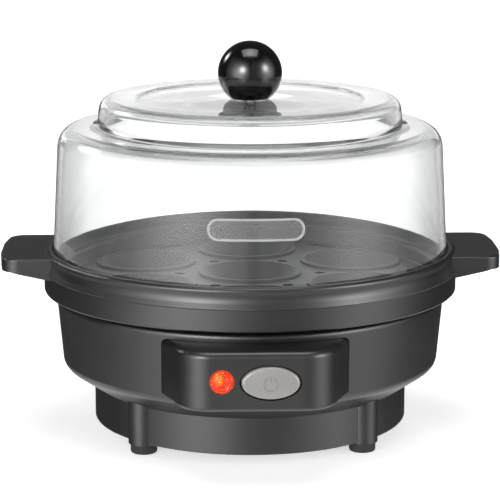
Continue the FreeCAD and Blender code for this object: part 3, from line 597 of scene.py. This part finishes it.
def surround(scene):
    """Soft panels left and right, a bright table, a white wall behind and glows in a dim room.

    Clear pieces look through to a brighter version of it, and matt ones get an even share."""
    scene.world = bpy.data.worlds.new("studio")
    s = Shader("studio", scene.world)
    way = s.add("ShaderNodeTexCoord", output="Generated")
    split = s.add("ShaderNodeSeparateXYZ", {}, {0: way}).socket.node
    right, back, up = (Value(s, split.outputs[k]) for k in (0, 1, 2))

    def rise(value, start, width):
        return s.clamp((value - start) / width)

    def spot(azimuth, elevation, sharpness):
        near = s.add("ShaderNodeVectorMath", {"operation": "DOT_PRODUCT"},
                     {0: way, 1: aimed(azimuth, elevation)}, output="Value")
        return s.clamp(near) ** sharpness

    side = s.add("ShaderNodeMath", {"operation": "ABSOLUTE"}, {0: right})
    front = rise(0.2 - back, 0.0, 0.25)
    panels = rise(side, 0.03, 0.06) * front * rise(up, -0.21, 0.03) * rise(0.8 - up, 0.0, 0.2)
    table = front * rise(-0.27 - up, 0.0, 0.03) * 0.3 + rise(-0.32 - up, 0.0, 0.3) * 1.5
    wall = rise(back, 0.93, 0.03) * rise(up, -0.03, 0.04)
    lit = panels * 0.4 + table + wall * 0.12
    for azimuth, elevation, sharpness, strength in GLOWS:
        lit = lit + spot(azimuth, elevation, sharpness) * strength
    lit = lit + ROOM_LIGHT
    through = s.add("ShaderNodeLightPath", output="Is Transmission Ray")
    diffuse = Value(s, through.socket.node.outputs["Is Diffuse Ray"])
    glossy = Value(s, through.socket.node.outputs["Is Glossy Ray"]) * (1 - through)
    power = ((1 - glossy - diffuse - through) + through * s.clamp(lit * 0.3 + 0.68)
             + glossy * lit + diffuse * (lit * 0.4 + 0.05))
    sky = s.add("ShaderNodeBackground", {}, {"Color": (1.0, 1.0, 1.0, 1.0), "Strength": power})
    s.finish(sky, "ShaderNodeOutputWorld")


def look_at(obj, place, target):
    obj.location = place
    obj.rotation_euler = (Vector(target) - Vector(place)).to_track_quat("-Z", "Y").to_euler()


class COOKER_OT_finishes(CookerOperator, bpy.types.Operator):
    """Finishes for the CAD pieces that show as they are"""

    bl_idname = "cooker.finishes"
    bl_label = "Finishes"

    def execute(self, context):
        colours = context.scene.cooker.colours
        charcoal = moulded("charcoal", colours.charcoal, grain=2100.0, depth=2.6e-5, spread=0.3)
        steel = metal("zinc_screws", (0.6, 0.6, 0.6))
        black_rubber = rubber("black_rubber", colours.rubber)
        sheet = metal("plated_sheet", (0.62, 0.62, 0.6), 0.28, (1.0, 10.0, 1.0))
        brass = metal("brass", (0.78, 0.58, 0.27), 0.25)
        brown = insulation("brown_lead", (0.16, 0.06, 0.025))
        switch = moulded("switch_black", (0.03, 0.03, 0.032), 0.5)
        glass = clear("lamp_glass", (0.98, 0.9, 0.84))
        paint(charcoal, "egg_tray", "base_housing", "control_pod", "bottom_shell")
        paint(steel, "knob_screw", "pod_screws", "bracket_screws",
              "thermostat_screws", "clamp_screws", "button_spring")
        paint(black_rubber, "knob_washer")
        paint(moulded("label_film", (0.68, 0.68, 0.66), 0.4, 900.0, 2e-6, 0.05), "rating_label")
        paint(moulded("dark_coating", (0.045, 0.045, 0.047), 0.3, 700.0, 4e-5, 0.2, coat=0.3),
              "heating_plate")
        paint(rubber("red_silicone", (0.32, 0.06, 0.035), 0.6), "plate_seal")
        paint(metal("heater_sheath", (0.3, 0.27, 0.25), 0.4, heat=(0.22, 0.14, 0.2)),
              "heating_element")
        paint(metal("cast_alloy", (0.5, 0.5, 0.5), 0.5, (1.0, 1.0, 1.0), 900.0), "heater_casting")
        paint(sheet, "plate_brackets", "thermostat_bracket", "fuse_clip")
        paint(moulded("ceramic", (0.72, 0.69, 0.62), 0.55, 1200.0), "thermostat")
        paint(metal("tinned_can", (0.72, 0.72, 0.72), 0.22), "thermal_fuse")
        paint(brass, "earth_tab", "terminal_screws")
        paint(switch, "switch_body", "cord_clamp")
        paint(glass, "neon_lamp")
        paint(moulded("woven_sleeve", (0.62, 0.6, 0.54), 0.7, 800.0, 6e-5), "lamp_sleeve")
        paint(moulded("lacquered_resistor", (0.4, 0.28, 0.14), 0.35, 900.0), "lamp_resistor")
        paint(moulded("nylon_block", (0.7, 0.7, 0.66), 0.45, 900.0), "terminal_block")
        paint(brown, "lead_live", "lead_switched", "lead_heater")
        paint(insulation("blue_lead", (0.02, 0.09, 0.36)), "lead_neutral")
        paint(insulation("green_lead", (0.07, 0.28, 0.04)), "lead_earth")
        paint(insulation("white_lead", (0.68, 0.68, 0.66)), "lead_lamp")
        return {"FINISHED"}


class COOKER_OT_lid(CookerOperator, bpy.types.Operator):
    """Clear stepped lid with its ball knob and blank plaque"""

    bl_idname = "cooker.lid"
    bl_label = "Lid"

    def execute(self, context):
        sizes, colours = context.scene.cooker.sizes, context.scene.cooker.colours
        t = sizes.lid_wall / MM
        (foot, bottom), (wall, step) = LID_FOOT, LID_STEP
        neck, crown, top, recess, seat, screw = 60.6, 59.3, 133.1, 132.0, 132.35, 2.3
        dome = turned("lid_shell", [
            (foot, bottom, 0.6), (wall, step, 7.5), (neck, step + 0.4, 3.8), (crown, top, 5.0),
            (44.5, top, 0.5), (43.6, recess, 0.5), (7.4, recess, 0.3), (7.1, seat),
            (screw, seat), (screw, recess - t), (44.6, recess - t, 0.5), (45.5, top - t, 0.5),
            (crown - t, top - t, 2.6), (neck - t, step + 0.4 - t, 1.4), (wall - t, step - t, 5.1),
            (foot - t - 0.1, bottom, 0.6)])
        vent = turned("vent", [(0.0, 120.0), (1.6, 120.0), (1.6, 140.0), (0.0, 140.0)],
                      0.0, 26.0, steps=32)
        carve(dome, [vent])
        dress(dome, "lid", "clear_plastic", clear("clear_plastic", colours.lid), "lid_dome")
        gleams = bpy.data.collections.new("gleams")
        gleams.objects.link(dome)
        bpy.data.objects["backdrop"].light_linking.receiver_collection = gleams

        r, middle, flat = sizes.knob_radius / MM, 142.4, 132.4
        low = math.asin((flat - middle) / r)
        rises = [low + (math.pi / 2 - low) * k / 40 for k in range(41)]
        ball = [(r * math.cos(a), middle + r * math.sin(a)) for a in rises]
        ball[0] = ball[0] + (0.35,)
        knob = turned("ball_knob", [(1.75, flat + 9.0), (1.75, flat)] + ball[:-1]
                      + [(0.0, middle + r), (0.0, flat + 9.0)], steps=128)
        dress(knob, "lid", "gloss_black", polished("gloss_black", colours.knob), "lid_knob")
        milky = frosted("plaque", (0.9, 0.9, 0.91), half=0.0137, height=0.0945, radius=0.0032)
        dress(plaque(), "lid", "badge", milky, "lid_badge")
        return {"FINISHED"}


def capsule(half, radius, inset, along=28, around=14):
    """Capsule outline of (x, z), with the same number of points at any inset."""
    r, points = radius - inset, []
    for side in (1, -1):
        points += [(side * half * (1 - 2 * k / along), side * r) for k in range(along)]
        points += [(-side * (half + r * math.sin(math.pi * k / around)),
                    side * r * math.cos(math.pi * k / around)) for k in range(around)]
    return points


def plaque():
    """Blank capsule plaque wrapped on the lid's front wall, with a raised rim."""
    height, half, radius = 94.5, 14.0, 4.2
    slope = (LID_STEP[0] - LID_FOOT[0]) / (LID_STEP[1] - LID_FOOT[1])

    def on_wall(x, z, out):
        r = LID_FOOT[0] + slope * (z - LID_FOOT[1]) + out
        a = x / r
        return (r * math.sin(a), -r * math.cos(a), z)

    profile = [(0.0, 0.03), (0.0, 0.26), (0.12, 0.4), (0.3, 0.43), (0.62, 0.43), (0.8, 0.36),
               (0.95, 0.2)] + [(0.95 + (radius - 0.95) * k / 8, 0.2) for k in range(1, 9)]
    fronts = [[on_wall(x, height + z, out) for x, z in capsule(half, radius, inset)]
              for inset, out in profile]
    backs = [[on_wall(x, height + z, 0.03) for x, z in capsule(half, radius, inset)]
             for inset, _ in reversed(profile[1:])]
    bm = bmesh.new()
    skin(bm, backs + fronts, capped=False)
    return new_object("lid_plaque", bm, 40.0)


def ellipse(width, height, x, z, y, scale=1.0, steps=96):
    """Loop of an upright ellipse at a depth y."""
    return [(x + scale * width / 2 * math.cos(2 * math.pi * k / steps), y,
             z + scale * height / 2 * math.sin(2 * math.pi * k / steps)) for k in range(steps)]


class COOKER_OT_button(CookerOperator, bpy.types.Operator):
    """Oval push button with its raised standby mark"""

    bl_idname = "cooker.button"
    bl_label = "Button"

    def execute(self, context):
        sizes, colours = context.scene.cooker.sizes, context.scene.cooker.colours
        w, h = sizes.button_width / MM, sizes.button_height / MM
        x, z, front, edge = 4.9, 40.5, -92.5, 1.15
        levels = [ellipse(w - 3.4, h - 3.4, x, z, y) for y in (-90.4, -87.6)]
        levels += [ellipse(w, h, x, z, -87.6), ellipse(w, h, x, z, front + edge + 0.35)]
        for k in range(1, 9):
            a = math.pi / 2 * k / 8
            inset = 2 * edge * (1 - math.cos(a))
            levels.append(ellipse(w - inset, h - inset, x, z,
                                  front + 0.35 + edge * (1 - math.sin(a))))
        for k in range(1, 12):
            share = 1 - k / 12
            levels.append(ellipse(w - 2 * edge, h - 2 * edge, x, z,
                                  front + 0.1 + 0.25 * share * share, share))
        cap = stacked("button_cap", levels, 50.0)
        stem = turned("stem", [(0.0, -91.4), (2.4, -91.4), (2.4, -81.1, 0.4), (0.0, -81.1)],
                      x, z, "Y", 48)
        carve(cap, [stem], "UNION")
        dress(cap, "button", "button_grey", satin("satin_grey", colours.button), "power_button")

        mark = bpy.data.curves.new("standby_mark", "CURVE")
        mark.dimensions, mark.bevel_depth, mark.bevel_resolution = "3D", 0.22 * MM, 3
        mark.use_fill_caps = True
        open_ring = [(2.45 * math.sin(math.radians(a)), 2.45 * math.cos(math.radians(a)) - 0.3)
                     for a in range(28, 333, 8)]
        for line in (open_ring, [(0.0, 0.5), (0.0, 3.0)]):
            spline = mark.splines.new("POLY")
            spline.points.add(len(line) - 1)
            for point, (a, b) in zip(spline.points, line):
                point.co = ((x + a) * MM, (front + 0.08) * MM, (z + b) * MM, 1.0)
        holder = bpy.data.objects.new("standby_mark", mark)
        context.scene.collection.objects.link(holder)
        bpy.context.view_layer.update()
        mesh = bpy.data.meshes.new_from_object(
            holder.evaluated_get(context.evaluated_depsgraph_get()))
        bpy.data.objects.remove(holder)
        dress(show_mesh("standby_mark", mesh, 50.0), "button", "button_grey",
              satin("satin_mark", tone(colours.button, 0.8)[:3], 0.4))
        return {"FINISHED"}


class COOKER_OT_lens(CookerOperator, bpy.types.Operator):
    """Indicator lens with stepped prism rings on its face and back"""

    bl_idname = "cooker.lens"
    bl_label = "Indicator lens"

    def execute(self, context):
        sizes, colours = context.scene.cooker.sizes, context.scene.cooker.colours
        r, x, z = sizes.lens_radius / MM, -12.95, 40.9
        front = [(0.0, -92.5), (0.55, -92.42)]
        for k in range(1, 4):
            front += [(k * 0.95 - 0.12, -92.12 + 0.1 * k), (k * 0.95 + 0.3, -92.44 + 0.13 * k)]
        front += [(r - 0.75, -91.85), (r - 0.1, -91.25, 0.4), (r, -90.9)]
        back = [(r, -87.55), (3.55, -87.55), (3.55, -88.6), (2.8, -88.6), (2.8, -88.2),
                (2.1, -88.2), (2.1, -88.9), (1.4, -88.9), (1.4, -88.5), (0.7, -88.5),
                (0.7, -89.2), (0.0, -89.2)]
        lens = turned("indicator", front + back, x, z, "Y", 96, 12.0)
        dress(lens, "base", "lens_orange",
              painted_lens_glow("orange_lens", colours.lens, (x * MM, -91.5 * MM, z * MM)),
              "indicator_lens")
        return {"FINISHED"}


class COOKER_OT_feet(CookerOperator, bpy.types.Operator):
    """Rubber pads and the screws in the four feet"""

    bl_idname = "cooker.feet"
    bl_label = "Feet"

    def execute(self, context):
        colours = context.scene.cooker.colours
        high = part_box("foot_pads")[1]
        pad_r = 5.2
        circle = math.hypot(high[0] - pad_r * MM, high[1] - pad_r * MM)
        black = rubber("foot_rubber", colours.rubber)
        pad = turned("pad", [(0.0, 0.0), (3.0, 0.0, 0.3), (3.3, 0.35, 0.2), (3.7, 0.35, 0.2),
                             (4.0, 0.0, 0.3), (pad_r, 0.0, 1.0), (pad_r, 3.85), (3.6, 3.85),
                             (3.6, 9.0, 0.4), (0.0, 9.0)], steps=64)
        pad.name = "feet_rubber"
        repeated(pad, 4, circle, math.pi / 4, black)
        dress(pad, "base", "rubber_black", black, "foot_pads")

        steel = metal("zinc_screws_base", (0.6, 0.6, 0.6), 0.28, (1.0, 1.0, 1.0), 900.0)
        screw = turned("base_screws", [
            (0.0, 11.95), (2.6, 11.95, 0.5), (3.4, 12.6, 0.4), (3.4, 13.95), (1.45, 13.95),
            (1.45, 32.0, 0.5), (0.0, 33.0)], steps=48)
        slots = []
        for size in ((3.6, 0.8, 1.8), (0.8, 3.6, 1.8)):
            bm = bmesh.new()
            bmesh.ops.create_cube(bm, size=1.0)
            bmesh.ops.scale(bm, vec=Vector(size) * MM, verts=bm.verts)
            bmesh.ops.translate(bm, vec=Vector((0.0, 0.0, 12.2)) * MM, verts=bm.verts)
            slots.append(new_object("slot", bm))
        carve(screw, slots)
        repeated(screw, 4, circle, math.pi / 4, steel)
        dress(screw, "base", "steel", steel, "housing_screws")
        return {"FINISHED"}


class COOKER_OT_cord_bush(CookerOperator, bpy.types.Operator):
    """Ribbed rubber bush at the back, where a supply cord leaves"""

    bl_idname = "cooker.cord_bush"
    bl_label = "Cord bush"

    def execute(self, context):
        tip, first, ribs, centre_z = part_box("cord_gland")[1][1] / MM, 81.0, 6, 37.0
        outside = [(3.5, 68.6), (8.0, 68.6, 0.5), (8.0, 71.6), (5.9, 71.6), (5.9, 79.2),
                   (7.2, 79.2), (7.2, 80.4, 0.6), (6.2, 80.4)]
        pitch = (tip - first) / ribs
        for k in range(ribs):
            y, r = first + k * pitch, 6.1 - 0.85 * k / ribs
            outside += [(r - 0.9, y, 0.2), (r - 0.9, y + 0.45 * pitch, 0.2),
                        (r, y + 0.5 * pitch, 0.2), (r - 0.1, y + pitch, 0.2)]
        outside[-1] = (outside[-1][0], tip, 0.3)
        bush = turned("cord_bush", outside + [(3.5, tip, 0.3)], 0.0, centre_z, "Y", 64, 35.0)
        dress(bush, "base", "rubber_black",
              rubber("bush_rubber", context.scene.cooker.colours.rubber), "cord_gland")
        return {"FINISHED"}


class COOKER_PT_panel(bpy.types.Panel):
    """Lists the steps that build the cooker"""

    bl_idname = "COOKER_PT_panel"
    bl_label = "Egg Cooker"
    bl_space_type = "VIEW_3D"
    bl_region_type = "UI"
    bl_category = "Egg Cooker"

    def draw(self, context):
        settings = context.scene.cooker
        for group in (settings.sizes, settings.colours):
            for name in group.__annotations__:
                self.layout.prop(group, name)
        for step in STEPS:
            self.layout.operator(step.bl_idname)


STEPS = (COOKER_OT_stage, COOKER_OT_finishes, COOKER_OT_lid, COOKER_OT_button, COOKER_OT_lens,
         COOKER_OT_feet, COOKER_OT_cord_bush)
CLASSES = (CookerSizes, CookerColours, CookerSettings) + STEPS + (COOKER_PT_panel,)


def register():
    for cls in CLASSES:
        bpy.utils.register_class(cls)
    bpy.types.Scene.cooker = bpy.props.PointerProperty(type=CookerSettings)


def unregister():
    del bpy.types.Scene.cooker
    for cls in reversed(CLASSES):
        bpy.utils.unregister_class(cls)


def main():
    register()
    for step in STEPS:
        group, name = step.bl_idname.split(".")
        getattr(getattr(bpy.ops, group), name)()


if __name__ == "__main__":
    main()
